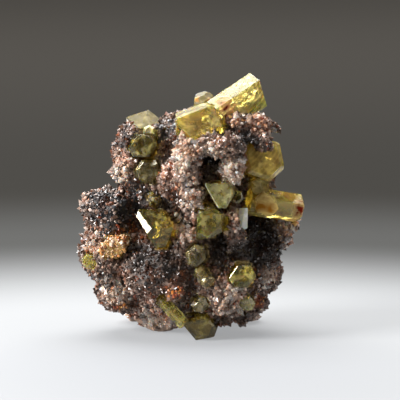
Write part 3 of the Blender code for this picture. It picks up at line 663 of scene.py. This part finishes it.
crystalLooks = {
    # Fluorapatite, clear golden: glassy prism faces with faint growth lines, a few veils inside
    "golden": {
        "slot": "fluorapatite_golden", "tint": "#f0e298", "veil": "#f3e89c", "veiled": 0.3,
        "depth": "#efe160", "density": 150, "banded": 0.86, "clarity": 0.95, "roughness": 0.03,
    },
    "bright": {
        "slot": "fluorapatite_golden", "tint": "#faeeb0", "veil": "#fff4b0", "veiled": 0.16,
        "depth": "#f3ea78", "density": 55, "banded": 0.94, "clarity": 0.95, "roughness": 0.02, "gloss": 0.25,
    },
    "honey": {
        "slot": "fluorapatite_golden", "tint": "#f0d984", "veil": "#f4e08c", "veiled": 0.4,
        "depth": "#f0de68", "density": 90, "banded": 0.76, "clarity": 0.86, "roughness": 0.04,
    },
    "olive": {
        "slot": "fluorapatite_golden", "tint": "#e6da98", "veil": "#ded07c", "veiled": 0.2,
        "depth": "#e6da58", "density": 240, "banded": 0.93, "clarity": 0.98, "roughness": 0.03, "cloud": 2.4,
    },
    "dark": {
        "slot": "fluorapatite_golden", "tint": "#ccbe84", "veil": "#d2c278", "veiled": 0.38,
        "depth": "#d8ca50", "density": 320, "banded": 0.95, "clarity": 0.98, "roughness": 0.05, "cloud": 2.4,
    },
    "darkest": {
        "slot": "fluorapatite_golden", "tint": "#a89c64", "veil": "#b0a060", "veiled": 0.3,
        "depth": "#d8ca50", "density": 340, "banded": 0.95, "clarity": 0.98, "roughness": 0.05, "cloud": 2.4,
    },
    "pale": {
        "slot": "fluorapatite_pale", "tint": "#e6dea6", "veil": "#efe4ae", "veiled": 0.42,
        "depth": "#eae080", "density": 130, "banded": 0.84, "clarity": 0.92, "roughness": 0.05, "cloud": 2.2,
    },
    "deepOlive": {
        "slot": "fluorapatite_golden", "tint": "#d8cc88", "veil": "#ddd07c", "veiled": 0.2,
        "depth": "#e6da58", "density": 330, "banded": 0.95, "clarity": 0.98, "roughness": 0.03, "cloud": 2.4,
    },
    "yellowGreen": {
        "slot": "fluorapatite_pale", "tint": "#e6da98", "veil": "#e6d880", "veiled": 0.3,
        "depth": "#e6da58", "density": 300, "banded": 0.93, "clarity": 0.97, "roughness": 0.03, "cloud": 2.4,
    },
    "milky": {
        "slot": "fluorapatite_pale", "tint": "#aba07c", "veil": "#b8ab84", "veiled": 0.3,
        "depth": "#ece388", "density": 110, "banded": 0.9, "clarity": 0.72, "roughness": 0.12,
    },
    "dull": {
        "slot": "fluorapatite_dull", "tint": "#b0a47c", "veil": "#a8946c", "veiled": 0.45,
        "depth": "#d8c88c", "density": 240, "banded": 0.92, "clarity": 0.95, "roughness": 0.1, "cloud": 2.2,
    },
    # Painted highlight: the blade's white, nearly opaque body stands in for light mirrored off its face.
    "silky": {
        "slot": "fluorapatite_golden", "tint": "#f6f2e6", "veil": "#ffffff", "veiled": 0.3,
        "depth": "#f3ea78", "density": 30, "banded": 0.8, "clarity": 0.35, "roughness": 0.08,
    },
    "stained": {
        "slot": "fluorapatite_stained", "tint": "#b08a50", "veil": "#7c5227", "veiled": 0.3,
        "depth": "#c08a3c", "density": 300, "banded": 1.0, "clarity": 0.35, "roughness": 0.45,
    },
}
crystalFinish = {
    "crown_crystal": "bright", "right_big_crystal": "honey", "right_flat_crystal": "yellowGreen",
    "blade_crystal": "silky", "long_low_crystal": "olive", "crown_back_crystal": "milky",
    "tower_top_crystal": "milky", "tower_face_crystal": "dark", "tower_sliver": "pale",
    "tower_low_crystal": "dull", "slot_crystal": "dull", "hero_crystal": "deepOlive",
    "middle_dark_crystal": "olive", "middle_pale_crystal": "pale", "middle_small_crystal": "dark",
    "low_round_crystal": "dull", "low_bar_crystal": "dull", "right_fan_crystal": "pale",
    "low_wedge_crystal": "dull", "foot_crystal": "darkest", "back_low_crystal": "pale",
    "back_left_crystal": "dark",
}

# Iron oxides let in by cracks: where (seen right, up in mm), how far they reach in mm, how strong, the colour
ironStains = {
    "crown_crystal": ((8.6, 60.8, 3.4, 1.0, "#a8401c"), (7.6, 61.6, 1.0, 1.6, "#4c0f0a"),
                      (8.2, 59.6, 1.1, 1.5, "#5c120a"), (8.8, 57.8, 1.1, 1.5, "#5c120a"),
                      (7.8, 63.0, 0.8, 1.9, "#14161f"), (10.2, 58.8, 2.4, 0.9, "#c4632a"),
                      (9.8, 62.6, 1.0, 1.2, "#8a2412")),
    "crown_front_crystal": ((6.6, 60.0, 2.0, 0.9, "#b4571e"), (5.0, 57.9, 0.7, 1.7, "#1a1712"),
                            (6.9, 58.0, 1.6, 0.8, "#c4632a")),
    "crown_back_crystal": ((1.4, 62.6, 1.3, 0.6, "#c4732e"), (4.6, 62.6, 1.3, 0.6, "#b4571e")),
    "right_long_crystal": ((20.0, 32.0, 2.4, 1.2, "#a8761e"), (22.6, 31.4, 2.4, 1.2, "#a8761e"),
                           (25.2, 30.9, 2.4, 1.2, "#94521a"), (28.6, 33.6, 3.0, 1.3, "#74200f"),
                           (28.4, 36.4, 2.2, 1.1, "#8a3014"), (26.6, 31.2, 2.0, 1.0, "#a4501e"),
                           (16.8, 40.0, 3.0, 0.9, "#5c4028"), (18.4, 37.4, 2.0, 0.8, "#7c5a2a"),
                           (17.4, 34.8, 4.6, 1.0, "#8a5c1a"), (20.2, 33.4, 4.0, 0.9, "#96641c")),
}

# Curved growth lines across a face: their middle (seen right, up in mm) and spacing in mm
growthRings = {"right_big_crystal": (5.0, 59.0, 1.0), "crown_crystal": (2.0, 80.0, 1.6)}

apatiteGrain = {
    "cloud": 3.2,  # mm, veils of tiny cavities, unless a look gives its own
    "veil": (0.5, 0.66),  # noise where a veil starts and is full
    "zone": 1.6, "line": 0.7,  # mm, colour zones and growth lines across the prism
    "ring": (0.86, 0.25),  # clarity left on a ring, and its relief
    "stainDrift": (1.3, 3.2),  # mm, size and reach of what frays the stains
    "relief": (0.22, 0.10),  # strength, and mm
    "glow": ((1.0, 0.8, 0.3), 3.0),  # how far light goes in the veils: red, green and blue shares, and mm
    "sheen": "#fbf1d4",
}


def apatiteMaterial(name, look, stains=(), rings=None):
    material, tree = newMaterial(name)
    place = addNode(tree, "ShaderNodeTexCoord").outputs["Object"]
    cloudNoise = addNode(tree, "ShaderNodeTexNoise", {
        "Scale": 1 / (look.get("cloud", apatiteGrain["cloud"]) * mm), "Detail": 5.0, "Roughness": 0.62,
        "Distortion": 0.35}, {"Vector": place})
    veilStart, veilFull = apatiteGrain["veil"]
    veils = addNode(tree, "ShaderNodeMapRange", {
        "From Min": veilStart, "From Max": veilFull, "To Max": look["veiled"]},
        {"Value": cloudNoise.outputs["Fac"]})
    clarity = addNode(tree, "ShaderNodeMath", {"operation": "SUBTRACT", 0: look["clarity"]},
                      {1: veils.outputs[0]})
    colour = addNode(tree, "ShaderNodeMix", {
        "data_type": "RGBA", 6: linearColour(look["tint"]), 7: linearColour(look["veil"])},
        {0: veils.outputs[0]})
    # the place, drawn together along the prism
    along = addNode(tree, "ShaderNodeAttribute", {"attribute_name": "alongAxis"})
    zones = addNode(tree, "ShaderNodeTexNoise", {"Scale": 1 / (apatiteGrain["zone"] * mm), "Detail": 2.0},
                    {"Vector": along.outputs["Vector"]})
    lines = addNode(tree, "ShaderNodeTexNoise", {
        "Scale": 1 / (apatiteGrain["line"] * mm), "Detail": 4.0, "Roughness": 0.6},
        {"Vector": along.outputs["Vector"]})
    zoned = addNode(tree, "ShaderNodeMapRange", {
        "From Min": 0.35, "From Max": 0.65, "To Min": 1.0, "To Max": look["banded"]},
        {"Value": zones.outputs["Fac"]})
    clarity = addNode(tree, "ShaderNodeMath", {"operation": "MULTIPLY"},
                      {0: clarity.outputs[0], 1: zoned.outputs[0]})
    colour, clarity, relief = colour.outputs[2], clarity.outputs[0], lines.outputs["Fac"]
    if rings:
        right, up, spacing = rings
        away = addNode(tree, "ShaderNodeVectorMath", {"operation": "DISTANCE", 1: seenPoint(right, up, -8.0)},
                       {0: place})
        phase = addNode(tree, "ShaderNodeMath", {"operation": "MULTIPLY", 1: math.tau / (spacing * mm)},
                        {0: away.outputs["Value"]})
        uneven = addNode(tree, "ShaderNodeMath", {"operation": "MULTIPLY_ADD", 1: 7.0},
                         {0: cloudNoise.outputs["Fac"], 2: phase.outputs[0]})
        wave = addNode(tree, "ShaderNodeMath", {"operation": "SINE"}, {0: uneven.outputs[0]})
        faded = addNode(tree, "ShaderNodeMath", {"operation": "MULTIPLY"},
                        {0: wave.outputs[0], 1: zones.outputs["Fac"]})
        ringed = addNode(tree, "ShaderNodeMapRange", {
            "From Min": 0.0, "From Max": 0.5, "To Min": 1.0, "To Max": apatiteGrain["ring"][0]},
            {"Value": faded.outputs[0]})
        clarity = addNode(tree, "ShaderNodeMath", {"operation": "MULTIPLY"},
                          {0: clarity, 1: ringed.outputs[0]}).outputs[0]
        relief = addNode(tree, "ShaderNodeMath", {"operation": "MULTIPLY_ADD", 1: apatiteGrain["ring"][1]},
                         {0: faded.outputs[0], 2: relief}).outputs[0]
    rough = addNode(tree, "ShaderNodeMapRange", {
        "To Min": look["roughness"], "To Max": look["roughness"] + 0.05},
        {"Value": cloudNoise.outputs["Fac"]}).outputs[0]
    mostGloss = look.get("gloss", 0.5)
    gloss = addNode(tree, "ShaderNodeMapRange", {
        "From Min": 0.38, "From Max": 0.62, "To Min": mostGloss * 0.6, "To Max": mostGloss},
        {"Value": lines.outputs["Fac"]}).outputs[0]
    driftSize, driftReach = apatiteGrain["stainDrift"]
    drift = addNode(tree, "ShaderNodeTexNoise", {"Scale": 1 / (driftSize * mm), "Detail": 2.0},
                    {"Vector": place})
    shifted = addNode(tree, "ShaderNodeVectorMath", {"operation": "MULTIPLY_ADD", 1: (driftReach * mm,) * 3},
                      {0: drift.outputs["Color"], 2: place})
    for right, up, reach, strength, hexValue in stains:
        spot = seenOn(crystalTree, right, up) + Vector((driftReach / 2 * mm,) * 3)  # the drift's mean shift
        away = addNode(tree, "ShaderNodeVectorMath", {"operation": "DISTANCE", 1: spot},
                       {0: shifted.outputs[0]})
        near = addNode(tree, "ShaderNodeMapRange", {
            "From Min": reach * mm, "From Max": 0.0, "To Max": strength}, {"Value": away.outputs["Value"]})
        veined = addNode(tree, "ShaderNodeMapRange", {
            "From Min": 0.3, "From Max": 0.6, "To Min": 0.4, "To Max": 1.3}, {"Value": zones.outputs["Fac"]})
        stain = addNode(tree, "ShaderNodeMath", {"operation": "MULTIPLY", "use_clamp": True},
                        {0: near.outputs[0], 1: veined.outputs[0]})
        colour = addNode(tree, "ShaderNodeMix", {"data_type": "RGBA", 7: linearColour(hexValue)},
                         {0: stain.outputs[0], 6: colour}).outputs[2]
        kept = addNode(tree, "ShaderNodeMath", {"operation": "SUBTRACT", 0: 1.0}, {1: stain.outputs[0]})
        clarity = addNode(tree, "ShaderNodeMath", {"operation": "MULTIPLY"},
                          {0: clarity, 1: kept.outputs[0]}).outputs[0]
        gloss = addNode(tree, "ShaderNodeMath", {"operation": "MULTIPLY"},
                        {0: gloss, 1: kept.outputs[0]}).outputs[0]
        rough = addNode(tree, "ShaderNodeMath", {"operation": "MULTIPLY_ADD", 1: 0.5},
                        {0: stain.outputs[0], 2: rough}).outputs[0]
    bumpStrength, bumpHeight = apatiteGrain["relief"]
    bump = addNode(tree, "ShaderNodeBump", {"Strength": bumpStrength, "Distance": bumpHeight * mm},
                   {"Height": relief})
    shader = addNode(tree, "ShaderNodeBsdfPrincipled", {
        "IOR": apatiteIndex, "Specular Tint": linearColour(apatiteGrain["sheen"]), "Subsurface Weight": 1.0,
        "Subsurface Radius": apatiteGrain["glow"][0], "Subsurface Scale": apatiteGrain["glow"][1] * mm}, {
        "Base Color": colour, "Transmission Weight": clarity, "Roughness": rough,
        "Specular IOR Level": gloss, "Normal": bump.outputs[0]})
    depth = addNode(tree, "ShaderNodeVolumeAbsorption", {
        "Color": linearColour(look["depth"]), "Density": look["density"]})
    addNode(tree, "ShaderNodeOutputMaterial", {}, {"Surface": shader.outputs[0], "Volume": depth.outputs[0]})
    return material


# How many corners are chipped, the depth of a chip in mm, and the seed
chips = {
    "tower_face_crystal": (5, 0.6, 2), "tower_low_crystal": (5, 0.6, 5), "slot_crystal": (3, 0.4, 1),
    "middle_pale_crystal": (5, 0.5, 4), "middle_dark_crystal": (8, 1.1, 3), "low_round_crystal": (4, 0.4, 6),
    "low_bar_crystal": (3, 0.3, 7), "right_flat_crystal": (5, 0.4, 8), "right_fan_crystal": (4, 0.5, 9),
    "low_wedge_crystal": (5, 0.5, 10), "middle_small_crystal": (3, 0.4, 12),
    "crown_back_crystal": (7, 1.0, 13), "right_big_crystal": (3, 0.5, 14), "left_edge_crystal": (2, 0.3, 15),
    "foot_crystal": (2, 0.4, 16), "back_high_crystal": (2, 0.5, 17), "back_middle_crystal": (3, 0.6, 18),
    "back_low_crystal": (4, 0.6, 19), "back_left_crystal": (3, 0.6, 20),
}
# A broken face on the left front that mirrors the light: its depth in mm
brightBreaks = {"blade_crystal": 1.0, "middle_small_crystal": 0.3, "low_bar_crystal": 0.25}
breakFacing = Vector((-0.497, -0.796, 0.347)).normalized()
crystalCut = {
    "flat": 1.0,  # degrees, flatter seams than this are one face
    "sharp": 12,  # degrees, edges sharper than this get a bevel
    "bevel": (0.06, 2, 0.6),  # mm, segments and profile
    "drawn": 0.88,  # how far the growth lines' pattern is drawn together along the prism
    "standsOut": 0.7,  # mm from the rock, a corner that may be chipped
    "chipTilt": 0.5,
    "chipDepth": (0.35, 0.65),  # the least share of a chip's depth, and the share that varies
}


def sliceOff(bm, point, facing):
    bmesh.ops.bisect_plane(bm, geom=bm.verts[:] + bm.edges[:] + bm.faces[:], plane_co=point, plane_no=facing,
                           clear_outer=True)
    rim = [e for e in bm.edges if e.is_boundary]
    if rim:
        bmesh.ops.contextual_create(bm, geom=rim)


def chipCorners(bm, count, depth, seed):  # small breaks across the corners that stand out of the rock
    for k in range(count):
        inside = sum((v.co for v in bm.verts), Vector()) / len(bm.verts)
        proud = crystalCut["standsOut"] * mm
        out = [v for v in bm.verts if rockTree.find_nearest(v.co)[3] > proud or v.co.y < inside.y]
        if not out:
            return
        pick = int((noise.cell(Vector((seed * 3.1, k * 1.7, 0.5))) * 0.5 + 0.5) * 997)
        corner = out[pick % len(out)].co.copy()
        away = (corner - inside).normalized()
        away += Vector([wobble(corner, 3.0, seed + k + step) for step in (0, 9, 17)]) * crystalCut["chipTilt"]
        away.normalize()
        least, varied = crystalCut["chipDepth"]
        cut = depth * (least + varied * abs(wobble(corner, 1.3, seed + k + 31))) * mm
        sliceOff(bm, corner - away * cut, away)


# Healed cracks inside the large crystals: where (seen right, up in mm), how deep in mm, and what share of the
# crystal they cross
cracks = {
    "crown_crystal": ((11.6, 61.4, 0.7, 0.05), (12.6, 62.6, 1.8, 0.05), (13.2, 64.6, 0.9, 0.3),
                      (14.4, 63.0, 3.0, 0.1)),
    "crown_front_crystal": ((5.2, 57.0, 1.4, 0.5),),
    "hero_crystal": ((-6.4, 27.2, 0.6, 0.5),),
    "middle_dark_crystal": ((6.6, 29.6, 1.4, 0.4),),
    "right_long_crystal": ((20.4, 34.2, 1.4, 0.4),),
    "long_low_crystal": ((-4.6, 7.6, 0.8, 0.3),),
    "right_flat_crystal": ((13.4, 17.2, 1.0, 0.4),),
    "right_big_crystal": ((17.2, 45.0, 1.4, 0.5),),
}
crackFacing = Vector((0.14, -0.74, 0.66))  # they mirror the light from above
crackShape = {
    "stray": 0.25,  # how far each one turns from that way
    "rim": 0.86,  # share of the crystal's section, so that it ends inside
    "waves": ((2.6, 0.7, 0), (0.9, 0.15, 5)),  # mm across, mm high, and what is added to the seed
    "film": 0.02,  # mm thick
    "halvings": 3,
}


# a thin, curved film of air across part of a crystal, as one closed sheet
def crackSheet(bm, right, up, depth, share):
    through = seenOn(crystalTree, right, up) - seenFrom * depth * mm
    stray = Vector([wobble(through, 5.0, k + 0.5) * crackShape["stray"] for k in (1, 2, 3)])
    facing = (crackFacing + stray).normalized()
    sheet = bm.copy()
    bmesh.ops.bisect_plane(sheet, geom=sheet.verts[:] + sheet.edges[:] + sheet.faces[:], plane_co=through,
                           plane_no=facing, clear_outer=True, clear_inner=True)
    if len(sheet.verts) < 3:
        return None
    bmesh.ops.contextual_create(sheet, geom=sheet.edges[:])
    side = facing.cross(Vector((0.3, 0.2, 1.0))).normalized()
    across = [v.co.dot(side) for v in sheet.verts]
    edge = max(across) - (max(across) - min(across)) * share
    bmesh.ops.bisect_plane(sheet, geom=sheet.verts[:] + sheet.edges[:] + sheet.faces[:], plane_co=side * edge,
                           plane_no=side, clear_outer=True)
    if not sheet.faces:
        return None
    bmesh.ops.triangulate(sheet, faces=sheet.faces[:])
    for _ in range(crackShape["halvings"]):
        bmesh.ops.subdivide_edges(sheet, edges=sheet.edges[:], cuts=1, use_grid_fill=True)
    bmesh.ops.triangulate(sheet, faces=sheet.faces[:])
    heart = sum((v.co for v in sheet.verts), Vector()) / len(sheet.verts)
    for v in sheet.verts:
        v.co = heart + (v.co - heart) * crackShape["rim"]
        v.co += facing * sum(wobble(v.co, size, right + step) * height
                             for size, height, step in crackShape["waves"]) * mm
    bmesh.ops.solidify(sheet, geom=sheet.faces[:], thickness=crackShape["film"] * mm)
    bmesh.ops.recalc_face_normals(sheet, faces=sheet.faces[:])
    return sheet


# Air in a healed crack mirrors the light in patches, where the two sides have not grown together again
crackLook = {"gape": 1.2, "open": (0.46, 0.53, 0.9), "tint": "#fff6cf", "metallic": 0.85, "roughness": 0.24}
crackFinish, tree = newMaterial("healedCrack")
place = addNode(tree, "ShaderNodeTexCoord").outputs["Object"]
gape = addNode(tree, "ShaderNodeTexNoise", {
    "Scale": 1 / (crackLook["gape"] * mm), "Detail": 5.0, "Roughness": 0.65}, {"Vector": place})
shut, wide, most = crackLook["open"]
alpha = addNode(tree, "ShaderNodeMapRange", {"From Min": shut, "From Max": wide, "To Max": most},
                {"Value": gape.outputs["Fac"]})
shader = addNode(tree, "ShaderNodeBsdfPrincipled", {
    "Base Color": linearColour(crackLook["tint"]), "Metallic": crackLook["metallic"],
    "Roughness": crackLook["roughness"]}, {"Alpha": alpha.outputs[0]})
addNode(tree, "ShaderNodeOutputMaterial", {}, {"Surface": shader.outputs[0]})
crackJoin = bmesh.new()

finishes = {name: apatiteMaterial(name + "Fluorapatite", look)
            for name, look in crystalLooks.items() if name != "stained"}
for node in crystalNodes:
    if node == "stained_crystal":
        continue
    finishName = crystalFinish.get(node, "golden")
    bm = mergedCopy(node)
    bmesh.ops.dissolve_limit(bm, angle_limit=math.radians(crystalCut["flat"]), verts=bm.verts, edges=bm.edges)
    if node in chips:
        chipCorners(bm, *chips[node])
    if node in brightBreaks:
        foremost = max((v.co for v in bm.verts), key=breakFacing.dot) - breakFacing * brightBreaks[node] * mm
        sliceOff(bm, foremost, breakFacing)
    for crack in cracks.get(node, ()):
        sheet = crackSheet(bm, *crack)
        if sheet:
            loose = bpy.data.meshes.new("sheet")
            sheet.to_mesh(loose)
            crackJoin.from_mesh(loose)
            sheet.free()
    sharp = math.radians(crystalCut["sharp"])
    edges = [e for e in bm.edges if len(e.link_faces) == 2 and e.calc_face_angle() > sharp]
    offset, segments, profile = crystalCut["bevel"]
    bmesh.ops.bevel(bm, geom=edges, offset=offset * mm, segments=segments, profile=profile, affect="EDGES",
                    clamp_overlap=True)
    axis = max((e.verts[0].co - e.verts[1].co for e in bm.edges), key=lambda way: way.length).normalized()
    mesh = bpy.data.meshes.new(node)
    bm.to_mesh(mesh)
    bm.free()
    drawn = [v.co - axis * (v.co.dot(axis) * crystalCut["drawn"]) for v in mesh.vertices]
    mesh.attributes.new("alongAxis", "FLOAT_VECTOR", "POINT").data.foreach_set(
        "vector", [c for point in drawn for c in point])
    finish = finishes[finishName]
    if node in ironStains or node in growthRings:
        finish = apatiteMaterial(finishName + node.title().replace("_", ""), crystalLooks[finishName],
                                 ironStains.get(node, ()), growthRings.get(node))
    mesh.materials.append(finish)
    newPiece("cut." + node, mesh, crystalLooks[finishName]["slot"], node)

# The weathered crystal: its faces are eaten away, and quartz has begun to grow on it
weathered = {
    "voxel": 0.4, "lumps": (2.4, 0.9), "knobs": (1.0, 0.35),  # mm
    "level": 0.40,
    "crust": (0.75, 0.6, 2.0, 51.0),  # how much of it is overgrown, how unevenly, mm across, and seed
}
worn = remeshed("stained_crystal", weathered["voxel"])
for vertex, normal in [(v, v.normal.copy()) for v in worn.vertices]:
    rise = sum(height * (weathered["level"] - noise.voronoi(vertex.co / (size * mm))[0][0])
               for size, height in (weathered["lumps"], weathered["knobs"]))
    vertex.co += normal * rise * mm
overgrown, patchy, size, seed = weathered["crust"]
crust = [overgrown + patchy * wobble(v.co, size, seed) for v in worn.vertices]
worn.attributes.new("crust", "FLOAT", "POINT").data.foreach_set(
    "value", np.clip(crust, 0, 1).astype(np.float32))
worn.materials.clear()
worn.materials.append(apatiteMaterial("stainedFluorapatite", crystalLooks["stained"]))
newPiece("cut.stained_crystal", worn, "fluorapatite_stained", "stained_crystal")
growDruse("weatheredCrust", druseKinds["weatheredCrust"], worn, "fluorapatite_stained")

crackMesh = bpy.data.meshes.new("healedCracks")
crackJoin.to_mesh(crackMesh)
crackJoin.free()
crackMesh.materials.append(crackFinish)
newPiece("healedCracks", crackMesh, "fluorapatite_pale")
print("crystals cut:", len(crystalNodes))
print("healed cracks:", len(crackMesh.polygons), "faces")


# ---- floor, lights and camera

studio = {
    "pool": (0.0, -60.0),  # mm, middle of the painted pool of light, the palest part of the board
    "floor": ((0, "#707173"), (95, "#757677"), (222, "#333332"), (335, "#22211f"), (900, "#302e2b")),  # mm away; the pale near stops are a painted pool of light and the dark far stops painted shade
    "glow": 1.9,  # painted light: the board glows by its own colour, which lightens the shadows on it
    "half": 4.0,  # m
    "lampAim": (0, 0, 30),  # mm
    "air": ("#4a4640", 0.25),
    "lights": {  # place in mm, width and height in mm, watts
        "topSoftbox": ((-40, 250, 668), (760, 460), 13.0),
        "leftSoftbox": ((-560, -230, 300), (300, 380), 12.0),
        "backSoftbox": ((-120, 700, 380), (900, 360), 1.5),
        "rightFill": ((620, -200, 260), (420, 420), 1.2),
        "frontFill": ((-120, -760, 420), (300, 300), 0.5),
    },
}

# Floor board, matt: its colour is a painted pool of light, pale under the specimen and falling into painted
# shade behind it, and it glows with painted light
floorMaterial, tree = newMaterial("paintedBoard")
place = addNode(tree, "ShaderNodeTexCoord").outputs["Object"]
pool = Vector((*studio["pool"], 0.0)) * mm
away = addNode(tree, "ShaderNodeVectorMath", {"operation": "DISTANCE", 1: pool}, {0: place})
farthest = studio["floor"][-1][0]
share = addNode(tree, "ShaderNodeMath", {"operation": "DIVIDE", 1: farthest * mm}, {0: away.outputs["Value"]})
shade = addNode(tree, "ShaderNodeValToRGB", {}, {"Fac": share.outputs[0]})
shade.color_ramp.interpolation = "EASE"
rampColours(shade.color_ramp, [(distance / farthest, hexValue) for distance, hexValue in studio["floor"]])
# Painted light: the board glows by its own colour, which lightens the shadows on it.
shader = addNode(tree, "ShaderNodeBsdfPrincipled", {
    "Roughness": 0.9, "Specular IOR Level": 0.0, "Emission Strength": studio["glow"]}, {
    "Base Color": shade.outputs["Color"], "Emission Color": shade.outputs["Color"]})
addNode(tree, "ShaderNodeOutputMaterial", {}, {"Surface": shader.outputs[0]})
bm = bmesh.new()
bmesh.ops.create_grid(bm, x_segments=8, y_segments=8, size=studio["half"])
floorMesh = bpy.data.meshes.new("floor")
bm.to_mesh(floorMesh)
bm.free()
floorMesh.materials.append(floorMaterial)
floor = bpy.data.objects.new("floor", floorMesh)
scene.collection.objects.link(floor)

for name, (spot, size, watts) in studio["lights"].items():
    lamp = bpy.data.lights.new(name, "AREA")
    lamp.shape, lamp.size, lamp.size_y, lamp.energy = "RECTANGLE", size[0] * mm, size[1] * mm, watts
    lampObject = bpy.data.objects.new(name, lamp)
    scene.collection.objects.link(lampObject)
    lampObject.location = Vector(spot) * mm
    shine = (Vector(spot) - Vector(studio["lampAim"])) * mm
    lampObject.rotation_euler = shine.to_track_quat("Z", "Y").to_euler()

scene.world = bpy.data.worlds.new("studioAir")
scene.world.use_nodes = True
air = scene.world.node_tree.nodes["Background"]
air.inputs["Color"].default_value = linearColour(studio["air"][0])
air.inputs["Strength"].default_value = studio["air"][1]

footAcross, footDown, footBack = view["frontFoot"]
rightWay, upWay = Vector((1, 0, 0)), Vector((0, math.sin(lookDown), math.cos(lookDown)))
aim = axisPoint + Vector((0, footBack * mm, 0))
middle = view["picture"] / 2
aim += (rightWay * (middle - footAcross) + upWay * (footDown - middle)) * view["pixel"] * mm
camera = bpy.data.cameras.new("camera")
camera.sensor_width = view["sensor"]
camera.lens = view["sensor"] * view["distance"] / (view["picture"] * view["pixel"])
camera.clip_start, camera.clip_end = 0.01, 20.0
cameraObject = bpy.data.objects.new("camera", camera)
scene.collection.objects.link(cameraObject)
cameraObject.location = aim + seenFrom * view["distance"] * mm
cameraObject.rotation_euler = seenFrom.to_track_quat("Z", "Y").to_euler()
scene.camera = cameraObject
scene.view_settings.view_transform = "Standard"
